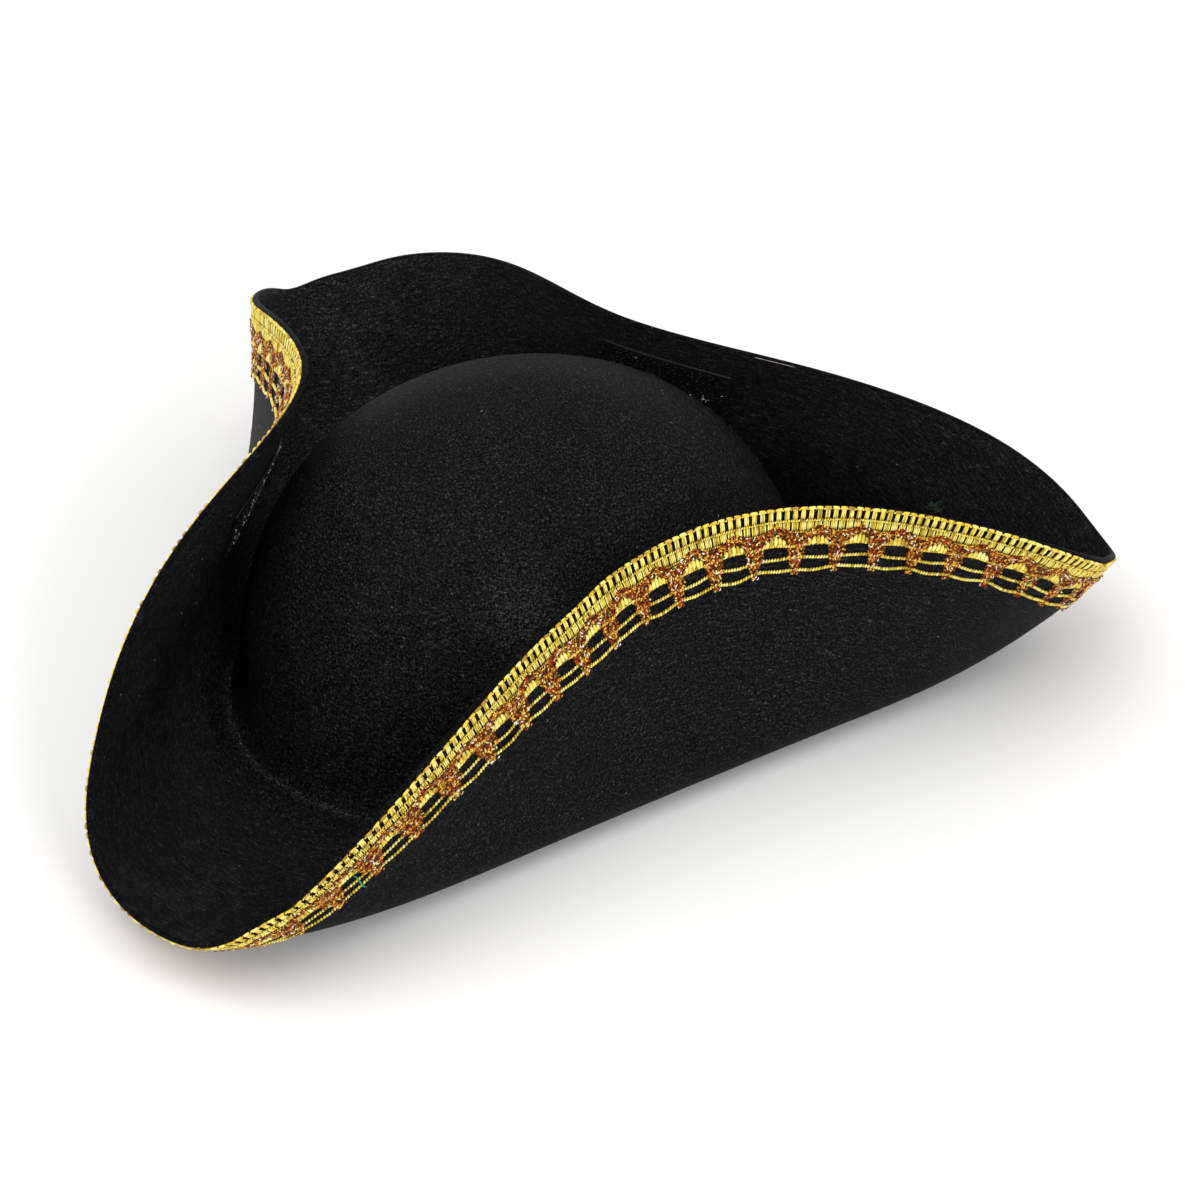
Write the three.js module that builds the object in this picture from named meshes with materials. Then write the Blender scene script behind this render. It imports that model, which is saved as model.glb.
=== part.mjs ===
import * as THREE from "three";

// Tricorn hat: one moulded felt body, a lace braid round the rim and three fastening tapes.
// Lengths are in millimetres, angles in degrees, +Z is up and the front point faces -Y.
// The shape is laid out with the front point near +X, then turned and centred at the end.

// Head and crown
const HEAD_LENGTH = 214;
const HEAD_WIDTH = 176;
const HEAD_TURN = 18;
const CROWN_HEIGHT = 110;
const CROWN_SQUARENESS = 2.36;
const CROWN_LEAN_SIDE = -3.8;
const CROWN_LEAN_BACK = 7;
const HEADLINE_FLARE = 5.7;
const HEADLINE_ROUND = 6;
const FOLD_PULL_HEIGHT = 20;

// Brim
const BRIM_WIDTH = 87.7;
const FELT_THICKNESS = 2;
const FOLD_HALF_SPAN = 0.823;
const POINT_SPREAD = 28;
const FLAT_SHARE = 0.18;
const CROWN_CLEARANCE = 3;
const CLEARANCE_BLEND = 1.5;

// Lace braid: a heading band next to the rim and a row of scallops below it
const BRAID_WIDTH = 27;
const BRAID_THICKNESS = 1.1;
const BRAID_INSET = 0.6;
const BRAID_REPEATS = 70;
const HEADING_SHARE = 0.44;
const WINDOW_WIDTH_SHARE = 0.6;
const WINDOW_TOP_SHARE = 0.62;
const WINDOW_BOTTOM_SHARE = 0.9;

// Fastening tapes
const TAPE_LENGTH = 45;
const TAPE_WIDTH = 26;
const TAPE_THICKNESS = 1.2;

// Gaps kept between separate pieces; the tapes sit over folds in the felt and need more
const PIECE_GAP = 0.35;
const TAPE_GAP = 0.6;

// One row per turned-up side. Start is where the fold begins, outside the headline when positive,
// and bend is the length that curls; both are shares of BRIM_WIDTH. The three angles are how far
// the side is turned up at its middle and at its first and last ends; the eases shape the change.
const FLAPS = [
  { name: "near", bearing: -58.5, start: -0.181, bend: 0.368, middle: 96.1, first: 57, last: 46.8,
    firstEase: 0.86, lastEase: 1.19 },
  { name: "rear", bearing: 60.6, start: -0.125, bend: 0.39, middle: 106.1, first: 55.4, last: 79.5,
    firstEase: 1.44, lastEase: 3.95 },
  { name: "left", bearing: 167.3, start: -0.329, bend: 0.796, middle: 113.2, first: 80.7, last: 87.3,
    firstEase: 3.02, lastEase: 2.48 },
];

// One row per point of the brim: extra lift and extra reach there, as shares of BRIM_WIDTH.
const POINTS = [
  { name: "side", bearing: -125.6, lift: 0.218, reach: 0.396 },
  { name: "front", bearing: 1.1, lift: 0.302, reach: 0.205 },
  { name: "back", bearing: 114, lift: 0.358, reach: 0.366 },
];

// Slow changes of the brim's width round the hat, as shares of BRIM_WIDTH.
const WIDTH_WAVES = [
  { turns: 1, cosine: 0.005, sine: -0.022 },
  { turns: 2, cosine: 0.054, sine: -0.076 },
  { turns: 3, cosine: -0.163, sine: 0.004 },
  { turns: 4, cosine: 0.036, sine: -0.081 },
];

// One row per fastening tape: the bearing of its middle, and how far its upper edge lies
// below the rim as a share of BRIM_WIDTH.
const TAPES = [
  { name: "tape_near", bearing: -58, below: 0.25 },
  { name: "tape_rear", bearing: 58, below: 0.15 },
  { name: "tape_left", bearing: 172, below: 0.32 },
];

// Rings of the grid, as shares of the way from headline to apex and from headline to rim.
const CROWN_RINGS = [0.94, 0.87, 0.78, 0.67, 0.55, 0.43, 0.31, 0.2, 0.12, 0.06, 0.025];
const BRIM_RINGS = [0, 0.055, 0.11, 0.17, 0.24, 0.32, 0.41, 0.51, 0.62];

const COLOURS = {
  felt: 0x17171a,
  gold: 0xd9b64e,
  glitter: 0xb4652f,
  tape: 0x0d0d0f,
};

const radians = (degrees) => (degrees * Math.PI) / 180;
const clamp = (value, low, high) => Math.min(Math.max(value, low), high);

function smoothStep(value) {
  const share = clamp(value, 0, 1);
  return share * share * (3 - 2 * share);
}

// Radius of the headline oval at a bearing given in radians.
function headRadius(bearing) {
  const turned = bearing - radians(HEAD_TURN);
  const along = Math.cos(turned) / (HEAD_LENGTH / 2);
  const across = Math.sin(turned) / (HEAD_WIDTH / 2);
  return 1 / Math.hypot(along, across);
}

// How far the headline oval reaches along a bearing.
function headReach(bearing) {
  const turned = bearing - radians(HEAD_TURN);
  return Math.hypot((HEAD_LENGTH / 2) * Math.cos(turned), (HEAD_WIDTH / 2) * Math.sin(turned));
}

// Sum of the points' own shares at a bearing, each fading out to its sides.
function pointShare(bearing, column) {
  let total = 0;
  for (const point of POINTS) {
    const turn = bearing - radians(point.bearing);
    const away = Math.atan2(Math.sin(turn), Math.cos(turn)) / radians(POINT_SPREAD);
    total += point[column] * Math.exp(-away * away);
  }
  return total;
}

function brimWidth(bearing) {
  let share = 1 + pointShare(bearing, "reach");
  for (const wave of WIDTH_WAVES) {
    share += wave.cosine * Math.cos(wave.turns * bearing);
    share += wave.sine * Math.sin(wave.turns * bearing);
  }
  return BRIM_WIDTH * share;
}

// Six-point rule for adding up a curve between 0 and 1.
const CURVE_POINTS = [
  [0.0337652429, 0.0856622462],
  [0.1693953068, 0.1803807865],
  [0.3806904070, 0.2339569673],
  [0.6193095930, 0.2339569673],
  [0.8306046932, 0.1803807865],
  [0.9662347571, 0.0856622462],
];

// Shift of a flat strip at distance out once it is curled up by angle between start and start + bend.
function foldShift(out, start, bend, angle) {
  if (out <= start) {
    return [0, 0];
  }
  const curled = clamp((out - start) / bend, 0, 1);
  let along = 0;
  let rise = 0;
  for (const [place, weight] of CURVE_POINTS) {
    const slope = angle * smoothStep(place * curled);
    along += weight * Math.cos(slope);
    rise += weight * Math.sin(slope);
  }
  const straight = Math.max(out - start - bend, 0);
  along = along * curled * bend + straight * Math.cos(angle);
  rise = rise * curled * bend + straight * Math.sin(angle);
  return [start + along - out, rise];
}

// Crown radius at a bearing about its own leaning centre, at a height above the headline.
function crownRadius(bearing, height) {
  const level = clamp(height / CROWN_HEIGHT, 0, 1);
  const round = (1 - level ** CROWN_SQUARENESS) ** (1 / CROWN_SQUARENESS);
  const flare = HEADLINE_FLARE * (1 - Math.exp(-Math.max(height, 0) / HEADLINE_ROUND));
  return (headRadius(bearing) - flare) * round;
}

// Keeps a turned-up side from leaning into the crown.
function keepOffCrown(spot, share) {
  const level = clamp(spot.z / CROWN_HEIGHT, 0, 1);
  const fromX = spot.x - CROWN_LEAN_SIDE * level;
  const fromY = spot.y - CROWN_LEAN_BACK * level;
  const distance = Math.hypot(fromX, fromY);
  const nearest = crownRadius(Math.atan2(fromY, fromX), spot.z) + CROWN_CLEARANCE;
  const excess = (nearest - distance) / CLEARANCE_BLEND;
  const push = CLEARANCE_BLEND * (excess > 20 ? excess : Math.log1p(Math.exp(excess)));
  const grow = 1 + (push * smoothStep((share - 0.12) / 0.25)) / distance;
  spot.x = CROWN_LEAN_SIDE * level + fromX * grow;
  spot.y = CROWN_LEAN_BACK * level + fromY * grow;
  return spot;
}

// Visible upper face of the brim; share runs from 0 at the headline to 1 at the rim.
function brimPoint(bearing, share) {
  const radius = headRadius(bearing) + brimWidth(bearing) * share;
  const flatX = radius * Math.cos(bearing);
  const flatY = radius * Math.sin(bearing);
  const lift = Math.max((share - FLAT_SHARE) / (1 - FLAT_SHARE), 0) ** 2;
  const spot = new THREE.Vector3(flatX, flatY, BRIM_WIDTH * pointShare(bearing, "lift") * lift);
  const halfSpan = FOLD_HALF_SPAN * (HEAD_LENGTH / 2 + BRIM_WIDTH);
  for (const flap of FLAPS) {
    const facing = radians(flap.bearing);
    const out = flatX * Math.cos(facing) + flatY * Math.sin(facing);
    const side = clamp((flatY * Math.cos(facing) - flatX * Math.sin(facing)) / halfSpan, -0.995, 0.995);
    const end = side < 0 ? flap.first : flap.last;
    const ease = side < 0 ? flap.firstEase : flap.lastEase;
    const angle = radians(end + (flap.middle - end) * (1 - side * side) ** ease);
    const start = headReach(facing) + flap.start * BRIM_WIDTH;
    const [shift, rise] = foldShift(out, start, flap.bend * BRIM_WIDTH, angle);
    spot.x += shift * Math.cos(facing);
    spot.y += shift * Math.sin(facing);
    spot.z += rise;
  }
  return keepOffCrown(spot, share);
}

// Visible outer face of the crown; share runs from 0 at the headline to 1 at the apex.
function crownPoint(bearing, share) {
  const turn = (share * Math.PI) / 2;
  const height = CROWN_HEIGHT * Math.sin(turn) ** (2 / CROWN_SQUARENESS);
  const level = height / CROWN_HEIGHT;
  const radius = crownRadius(bearing, height);
  const edge = brimPoint(bearing, 0);
  const pull = Math.exp(-((height / FOLD_PULL_HEIGHT) ** 2));
  const startX = headRadius(bearing) * Math.cos(bearing);
  const startY = headRadius(bearing) * Math.sin(bearing);
  return new THREE.Vector3(
    radius * Math.cos(bearing) + CROWN_LEAN_SIDE * level + (edge.x - startX) * pull,
    radius * Math.sin(bearing) + CROWN_LEAN_BACK * level + (edge.y - startY) * pull,
    height + edge.z * pull,
  );
}

// Unit direction that points away from the felt on its visible face.
function faceDirection(surface, bearing, share, upward) {
  const step = 1e-4;
  const low = clamp(share - step, 0, 1);
  const high = clamp(share + step, 0, 1);
  const round = surface(bearing + step, share).sub(surface(bearing - step, share));
  const along = surface(bearing, high).sub(surface(bearing, low));
  const direction = upward ? round.cross(along) : along.cross(round);
  return direction.normalize();
}

const bearings = [];
for (let column = 0; column < BRAID_REPEATS; column += 1) {
  bearings.push((2 * Math.PI * column) / BRAID_REPEATS);
}

// A ring holds, for each column, a spot on the visible face and the direction away from it.
function ringOf(surface, shareAt, upward) {
  return bearings.map((bearing) => {
    const share = shareAt(bearing);
    return {
      spot: surface(bearing, share),
      away: faceDirection(surface, bearing, share, upward),
    };
  });
}

const crownRings = [...CROWN_RINGS, 0].map((share) => ringOf(crownPoint, () => share, true));

// Distances from the rim, measured down the brim, where the braid's zones end.
const headingEdge = BRAID_INSET + BRAID_WIDTH * HEADING_SHARE;
const braidEdge = BRAID_WIDTH + BRAID_INSET * 2;

// Shares of the brim rings at a bearing: the plain ones squeezed in before the braid's zones.
function brimShares(bearing) {
  const width = brimWidth(bearing);
  const plain = (1 - braidEdge / width) / 0.72;
  return [...BRIM_RINGS.map((share) => share * plain), 1 - braidEdge / width, 1 - headingEdge / width, 1];
}

const brimRings = brimShares(0).map((unused, ring) => (
  ringOf(brimPoint, (bearing) => brimShares(bearing)[ring], false)
));

// The face under an item of a ring.
const underSpot = (item) => item.spot.clone().addScaledVector(item.away, -FELT_THICKNESS);

// True when, seen from underneath, the line from the first item of the low ring to the second item
// of the high ring lies deeper in the felt than the other line across the same four items.
function joinsAlong(lowRing, highRing, first, second) {
  const along = [lowRing[first], highRing[second]];
  const across = [lowRing[second], highRing[first]];
  const rise = new THREE.Vector3();
  const away = new THREE.Vector3();
  along.forEach((item) => rise.add(underSpot(item)));
  across.forEach((item) => rise.sub(underSpot(item)));
  [...along, ...across].forEach((item) => away.add(item.away));
  return rise.dot(away) >= 0;
}

function solidFrom(points, faces) {
  const positions = new Float32Array(points.length * 3);
  points.forEach((point, index) => point.toArray(positions, index * 3));
  const geometry = new THREE.BufferGeometry();
  geometry.setAttribute("position", new THREE.BufferAttribute(positions, 3));
  geometry.setIndex(faces);
  geometry.computeVertexNormals();
  return geometry;
}

// Felt body: apex, crown, headline and brim on the visible side, then back underneath to the apex.
function feltBody() {
  const outward = [...crownRings.slice(0, -1), ...brimRings];
  const inward = [...[...brimRings].reverse(), ...[...crownRings].reverse()];
  const rings = [...outward, ...inward];
  const points = [
    ...outward.flat().map((item) => item.spot),
    ...inward.flat().map(underSpot),
  ];
  const faces = [];
  const count = BRAID_REPEATS;
  for (let ring = 0; ring + 1 < rings.length; ring += 1) {
    for (let column = 0; column < count; column += 1) {
      const next = (column + 1) % count;
      const a = ring * count + column;
      const b = ring * count + next;
      const c = (ring + 1) * count + next;
      const d = (ring + 1) * count + column;
      if (joinsAlong(rings[ring], rings[ring + 1], column, next)) {
        faces.push(a, d, c, a, c, b);
      } else {
        faces.push(a, d, b, b, d, c);
      }
    }
  }
  const apexX = CROWN_LEAN_SIDE;
  const apexY = CROWN_LEAN_BACK;
  const top = points.length;
  points.push(new THREE.Vector3(apexX, apexY, CROWN_HEIGHT));
  const under = points.length;
  points.push(new THREE.Vector3(apexX, apexY, CROWN_HEIGHT - FELT_THICKNESS));
  const last = (rings.length - 1) * count;
  for (let column = 0; column < count; column += 1) {
    const next = (column + 1) % count;
    faces.push(top, column, next);
    faces.push(under, last + next, last + column);
  }
  return solidFrom(points, faces);
}

// Spot and direction part way between columns and rings of the felt grid.
function feltSample(ringLow, ringHigh, share, columnPlace, underneath) {
  const count = BRAID_REPEATS;
  const column = Math.floor(columnPlace);
  const part = columnPlace - column;
  const first = ((column % count) + count) % count;
  const second = (first + 1) % count;
  const cornerOf = (item) => ({ spot: underneath ? underSpot(item) : item.spot, away: item.away });
  const a = cornerOf(ringLow[first]);
  const b = cornerOf(ringLow[second]);
  const c = cornerOf(ringHigh[second]);
  const d = cornerOf(ringHigh[first]);
  const usual = joinsAlong(ringLow, ringHigh, first, second);
  const mix = (key) => {
    const weighted = (...terms) => terms.reduce(
      (sum, [corner, weight]) => sum.addScaledVector(corner[key], weight),
      new THREE.Vector3(),
    );
    if (usual && part < share) {
      return weighted([a, 1 - share], [d, share - part], [c, part]);
    }
    if (usual) {
      return weighted([a, 1 - part], [b, part - share], [c, share]);
    }
    if (part + share < 1) {
      return weighted([a, 1 - part - share], [b, part], [d, share]);
    }
    return weighted([c, part + share - 1], [b, 1 - share], [d, 1 - part]);
  };
  const result = { spot: mix("spot"), away: mix("away") };
  result.away.normalize();
  return result;
}

// Closed plate between two sheets of points; filled says which cells exist.
function plate(nearSheet, farSheet, filled, wraps) {
  const rows = nearSheet.length;
  const columns = nearSheet[0].length;
  const points = [...nearSheet.flat(), ...farSheet.flat()];
  const offset = rows * columns;
  const cellColumns = wraps ? columns : columns - 1;
  const isFilled = (row, column) => {
    if (row < 0 || row >= rows - 1) {
      return false;
    }
    if (!wraps && (column < 0 || column >= cellColumns)) {
      return false;
    }
    return filled(row, (column + cellColumns) % cellColumns);
  };
  const faces = [];
  const wall = (p, q) => {
    faces.push(p + offset, p, q, p + offset, q, q + offset);
  };
  for (let row = 0; row < rows - 1; row += 1) {
    for (let column = 0; column < cellColumns; column += 1) {
      if (!isFilled(row, column)) {
        continue;
      }
      const next = (column + 1) % columns;
      const a = row * columns + column;
      const b = row * columns + next;
      const c = (row + 1) * columns + next;
      const d = (row + 1) * columns + column;
      faces.push(a + offset, d + offset, c + offset, a + offset, c + offset, b + offset);
      faces.push(a, c, d, a, b, c);
      if (!isFilled(row, column - 1)) {
        wall(a, d);
      }
      if (!isFilled(row + 1, column)) {
        wall(d, c);
      }
      if (!isFilled(row, column + 1)) {
        wall(c, b);
      }
      if (!isFilled(row - 1, column)) {
        wall(b, a);
      }
    }
  }
  return { points, faces };
}

// Removes points that no face uses, such as those inside a window.
function tidyPlate({ points, faces }) {
  const renumber = new Map();
  const kept = [];
  const newFaces = faces.map((index) => {
    if (!renumber.has(index)) {
      renumber.set(index, kept.length);
      kept.push(points[index]);
    }
    return renumber.get(index);
  });
  return solidFrom(kept, newFaces);
}

// A closed plate on the felt: rows and columns of places, held off the felt by a gap.
function plateOnFelt(rows, gap, thickness, underneath, filled, wraps) {
  const side = underneath ? -1 : 1;
  const sheet = (lift) => rows.map((row) => row.map(
    (place) => place.spot.clone().addScaledVector(place.away, side * lift),
  ));
  return tidyPlate(plate(sheet(gap), sheet(gap + thickness), filled, wraps));
}

// Place under the rim at a distance from it and at a column, which may be part way to the next.
function underRim(distance, columnPlace) {
  const [startRing, middleRing, rimRing] = brimRings.slice(-3);
  if (distance <= headingEdge) {
    return feltSample(rimRing, middleRing, distance / headingEdge, columnPlace, true);
  }
  const share = (distance - headingEdge) / (braidEdge - headingEdge);
  return feltSample(middleRing, startRing, share, columnPlace, true);
}

function braidRows(distances, parts) {
  return distances.map((distance) => bearings.flatMap(
    (bearing, column) => parts.map((part) => underRim(distance, column + part)),
  ));
}

function braidHeading() {
  const rows = braidRows([BRAID_INSET, headingEdge - PIECE_GAP / 2], [0]);
  return plateOnFelt(rows, PIECE_GAP, BRAID_THICKNESS, true, () => true, true);
}

// Scallop row with one window cut through in each repeat.
function braidScallops() {
  const windowTop = BRAID_INSET + BRAID_WIDTH * WINDOW_TOP_SHARE;
  const windowBottom = BRAID_INSET + BRAID_WIDTH * WINDOW_BOTTOM_SHARE;
  const distances = [headingEdge + PIECE_GAP / 2, windowTop, windowBottom, BRAID_INSET + BRAID_WIDTH];
  const rows = braidRows(distances, [0, WINDOW_WIDTH_SHARE]);
  const filled = (row, column) => row !== 1 || column % 2 === 1;
  return plateOnFelt(rows, PIECE_GAP, BRAID_THICKNESS, true, filled, true);
}

// Place on the brim's visible face at a column, which may be part way to the next, and a share.
function onBrim(columnPlace, share) {
  const shares = brimShares((2 * Math.PI * columnPlace) / BRAID_REPEATS);
  let ring = 0;
  while (ring + 2 < shares.length && shares[ring + 1] < share) {
    ring += 1;
  }
  const part = (share - shares[ring]) / (shares[ring + 1] - shares[ring]);
  return feltSample(brimRings[ring], brimRings[ring + 1], part, columnPlace, false);
}

function fasteningTape({ bearing, below }) {
  const middle = radians(bearing < 0 ? bearing + 360 : bearing);
  const width = brimWidth(middle);
  const upper = 1 - (below * BRIM_WIDTH) / width;
  const lower = upper - TAPE_WIDTH / width;
  const radius = headRadius(middle) + (width * (upper + lower)) / 2;
  const toColumns = BRAID_REPEATS / (2 * Math.PI);
  const from = (middle - TAPE_LENGTH / 2 / radius) * toColumns;
  const to = (middle + TAPE_LENGTH / 2 / radius) * toColumns;
  const columns = [from];
  for (let column = Math.ceil(from + 0.1); column < to - 0.1; column += 1) {
    columns.push(column);
  }
  columns.push(to);
  // The plate bends where the felt's own rings do.
  const middleShares = brimShares(middle);
  const crossed = middleShares.map((unused, ring) => ring)
    .filter((ring) => middleShares[ring] > lower + 0.03 && middleShares[ring] < upper - 0.03);
  const row = (shareAt) => columns.map((column) => onBrim(column, shareAt(column)));
  const rows = [
    row(() => lower),
    ...crossed.map((ring) => row((column) => brimShares(column / toColumns)[ring])),
    row(() => upper),
  ];
  return plateOnFelt(rows, TAPE_GAP, TAPE_THICKNESS, false, () => true, false);
}

const material = (colour, name, roughness) => {
  const made = new THREE.MeshStandardMaterial({ color: colour, roughness, side: THREE.DoubleSide });
  made.name = name;
  return made;
};

const hat = new THREE.Group();
hat.name = "tricorn_hat";

function addPiece(name, geometry, surface) {
  const mesh = new THREE.Mesh(geometry, surface);
  mesh.name = name;
  hat.add(mesh);
}

const felt = material(COLOURS.felt, "black_felt", 0.95);
const gold = material(COLOURS.gold, "gold_braid", 0.5);
const glitter = material(COLOURS.glitter, "copper_glitter", 0.4);
const tape = material(COLOURS.tape, "black_tape", 0.35);

addPiece("felt_body", feltBody(), felt);
addPiece("braid_heading", braidHeading(), gold);
addPiece("braid_scallops", braidScallops(), glitter);
for (const row of TAPES) {
  addPiece(row.name, fasteningTape(row), tape);
}

// The front point is turned to face -Y, the resting face put at height 0 and the plan centred.
const front = POINTS.find((point) => point.name === "front");
const extent = new THREE.Box3();
for (const mesh of hat.children) {
  mesh.geometry.rotateZ(radians(-90 - front.bearing));
  mesh.geometry.translate(0, 0, FELT_THICKNESS);
  mesh.geometry.computeBoundingBox();
  extent.union(mesh.geometry.boundingBox);
}
const middle = extent.getCenter(new THREE.Vector3());
for (const mesh of hat.children) {
  mesh.geometry.translate(-middle.x, -middle.y, 0);
}

export default hat;
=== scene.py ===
import math
import bpy
import bmesh
import numpy as np
from mathutils import Matrix, Vector


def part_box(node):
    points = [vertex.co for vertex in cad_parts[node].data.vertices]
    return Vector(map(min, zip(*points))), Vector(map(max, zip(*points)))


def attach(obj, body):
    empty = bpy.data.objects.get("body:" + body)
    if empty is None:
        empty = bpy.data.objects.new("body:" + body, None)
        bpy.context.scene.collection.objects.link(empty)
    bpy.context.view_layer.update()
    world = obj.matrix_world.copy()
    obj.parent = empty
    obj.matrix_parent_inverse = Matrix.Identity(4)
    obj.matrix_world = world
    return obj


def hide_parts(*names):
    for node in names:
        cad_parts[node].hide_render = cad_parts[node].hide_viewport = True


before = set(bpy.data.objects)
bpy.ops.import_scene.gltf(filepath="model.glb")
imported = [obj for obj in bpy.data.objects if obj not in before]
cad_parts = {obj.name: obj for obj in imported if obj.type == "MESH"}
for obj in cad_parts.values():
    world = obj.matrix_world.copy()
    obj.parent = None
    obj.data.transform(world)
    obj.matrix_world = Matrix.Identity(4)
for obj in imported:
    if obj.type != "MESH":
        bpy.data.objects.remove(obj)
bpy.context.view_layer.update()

# Tricorn hat: black felt body, gold and copper lace round the rim, three fastening tapes.
# The shape is worked out in millimetres in its own layout, front point near +X and the flat
# brim at height 0, and turned into the frame's metres at the end.

# Head and crown
HEAD_LENGTH = 214.0
HEAD_WIDTH = 176.0
HEAD_TURN = math.radians(18.0)
CROWN_HEIGHT = 110.0
CROWN_SQUARENESS = 2.36
CROWN_LEAN = (-3.8, 7.0)
HEADLINE_FLARE = 5.7
HEADLINE_ROUND = 6.0
FOLD_PULL_HEIGHT = 20.0

# Brim
BRIM_WIDTH = 87.7
FELT_THICKNESS = 2.0
FOLD_HALF_SPAN = 0.823
POINT_SPREAD = math.radians(28.0)
FLAT_SHARE = 0.18
CROWN_CLEARANCE = 3.0
CLEARANCE_BLEND = 1.5
CLEARANCE_SHARES = (0.12, 0.37)
FRONT_TURN = math.radians(-91.1)

# Turned-up sides: bearing, start and bend as shares of the brim's width, then the angles at the
# middle and both ends and how the angle eases towards each end.
FLAPS = (
    (-58.5, -0.181, 0.368, 96.1, 57.0, 46.8, 0.86, 1.19),
    (60.6, -0.125, 0.39, 106.1, 55.4, 79.5, 1.44, 3.95),
    (167.3, -0.329, 0.796, 113.2, 80.7, 87.3, 3.02, 2.48),
)
# Points: bearing, lift, reach.
POINTS = ((-125.6, 0.218, 0.396), (1.1, 0.302, 0.205), (114.0, 0.358, 0.366))
# Slow waves in the brim's width: turns, cosine part, sine part.
WIDTH_WAVES = ((1, 0.005, -0.022), (2, 0.054, -0.076), (3, -0.163, 0.004), (4, 0.036, -0.081))
# Fastening tapes: node, bearing, upper edge below the rim as a share of the brim's width.
# The last value is the share of hooks painted pale as glints.
TAPES = (("tape_near", -58.0, 0.25, 0.3), ("tape_rear", 58.0, 0.15, 0.04), ("tape_left", 172.0, 0.32, 0.3))
TAPE_LENGTH = 45.0
TAPE_WIDTH = 26.0
# Foot and border of a tape off the felt, and how much further its middle swells
TAPE_LEVELS = (0.35, 0.75, 0.15)
TAPE_GRID = (37, 23)
# Hooks: step and width, play as a share of the step, share left out, heights along one, and how far
# the first and the last are from the tape's edges
HOOK_STEP = 1.45
HOOK_WIDTH = 0.45
HOOK_PLAY = 0.2
HOOK_GAPS = 0.5
HOOK_LEVELS = (0.8, 1.2, 1.35)
HOOK_MARGINS = (1.2, 1.0)

# Lace: repeats and rungs round the rim, height off the felt and the first row's distance from it.
# The rows' own distances are for a lace 23 mm wide and are stretched to the real 27 mm.
REPEATS = 70
RUNGS = 385
LACE_LIFT = 0.35
CHAIN_LIFT = 0.6
LACE_START = 0.3
LACE_STRETCH = 1.18
KNOT_LEVEL = 0.62
RUNG_LEVELS = (0.7, 4.6)
SATIN_LEVELS = (4.9, 8.4)
# Parts of the rim where the lace stands over it or is sewn lower: from, to, amount
LACE_STEPS = ((289.0, 352.0, -2.2), (14.0, 100.0, 0.9))
# Where the lace hangs askew: bearing, reach, lean as a share of the way down
LACE_LEAN = (350.0, 18.0, -0.3)
# Where the lace is gathered and its fans spread: bearing, reach, share
FAN_SPREADS = ((112.0, 22.0, 1.0), (262.0, 30.0, 0.35))
# Where the lace's repeats are pushed along the rim: place, amount, reach before and after it
LACE_SLIPS = ((905.0, 15.0, 75.0, 85.0), (1140.0, -11.0, 60.0, 50.0))
# Slow waves down and off the felt: turns round the rim, amount, start
LACE_WAVES = ((23, 0.16, 0.6), (41, 0.12, 2.0))
LIFT_WAVE = (31, 0.10)
CORD_WAVES = ((37, 0.25, 9.0), (59, 0.18, 0.0))
# Cords and chains of the lace: distance from the rim, slant, length and width of one turn, height
# off the felt, turns in a repeat, play along the rim
CORDS = {
    "rim_cord": (1.0, 0.45, 0.85, 0.5, LACE_LIFT, 16, 0.03),
    "upper_chain": (4.7, 0.6, 0.8, 0.62, CHAIN_LIFT, 17, 0.05),
    "lower_chain": (8.6, 0.5, 0.8, 0.5, CHAIN_LIFT, 17, 0.05),
    "border_cord": (13.4, 0.8, 1.0, 0.85, LACE_LIFT, 16, 0.05),
    "inner_cord": (17.6, 0.8, 0.98, 0.9, LACE_LIFT, 14, 0.03),
    "outer_cord": (21.6, 0.8, 0.98, 0.95, LACE_LIFT, 14, 0.03),
}
# Tinsel: the waving band, the fans' half width by distance from the rim, and the bits in a repeat
BAND_MIDDLE = 9.7
BAND_SWING = 1.35
BAND_HALF = 2.4
BAND_RAISE = 0.5
FAN_DOWN = (9.0, 13.0, 15.5, 17.5, 19.0, 21.0, 22.6, 23.4)
FAN_HALF = (5.0, 4.9, 4.3, 3.6, 2.8, 2.0, 1.4, 0.8)
FAN_LEVELS = (11.2, 23.2)
CUSHION_SHARE = 0.85
CUSHION_DOME = 0.3
CUSHION_FOOT = 0.1
BITS = 114

FELT_COLUMNS = 288
CROWN_ROWS = 42
CROWN_FOOT = (0.012, 0.004)
HEADLINE_ROW = CROWN_ROWS - 1 + len(CROWN_FOOT)
BRIM_ROWS = 50
CROWN_ROW_EASE = 1.15
BRIM_ROW_EASE = 1.1
# Rounded cut edge: angles of its rings, squareness, bulge and setback as shares of half the felt
EDGE_TURNS = (60, 30, 0, -30, -60)
EDGE_SQUARENESS = 0.6
EDGE_BULGE = 0.7
EDGE_SETBACK = 0.5
NAP_RADIUS = 0.1
HAIR_STRETCH = (420.0, 420.0, 1700.0)
FELT_HAIR_TONES = ((0.40, (0.0050, 0.0050, 0.0051)), (0.54, (0.0085, 0.0085, 0.0087)),
                   (0.64, (0.015, 0.015, 0.0155)), (0.74, (0.035, 0.035, 0.036)))
FELT_GRAIN_TONES = ((0.38, (0.10,) * 3), (0.49, (0.9,) * 3), (0.60, (2.4,) * 3), (0.70, (7.0,) * 3))
FELT_CLOUD_TONES = ((0.3, (0.8,) * 3), (0.7, (1.2,) * 3))
# How pale the felt is: crown and outer face, inner face of the brim, its cut edge, and the part of
# the brim towards the back point. The inner face is made paler than the crown as painted light against
# the shade inside the flaps, and the part towards the back point paler still as a painted pool of light
CROWN_TONE = 0.7
BRIM_TONE = 1.1
BRIM_GRAIN = 0.45
BRIM_TONE_SPAN = 0.3
EDGE_TONE = 0.3
PAINTED_LIGHT_TONE = 1.0
PAINTED_LIGHT_BEARING = 125.0
PAINTED_LIGHT_REACH = 55.0
PALE_GRAIN = 0.4
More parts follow.
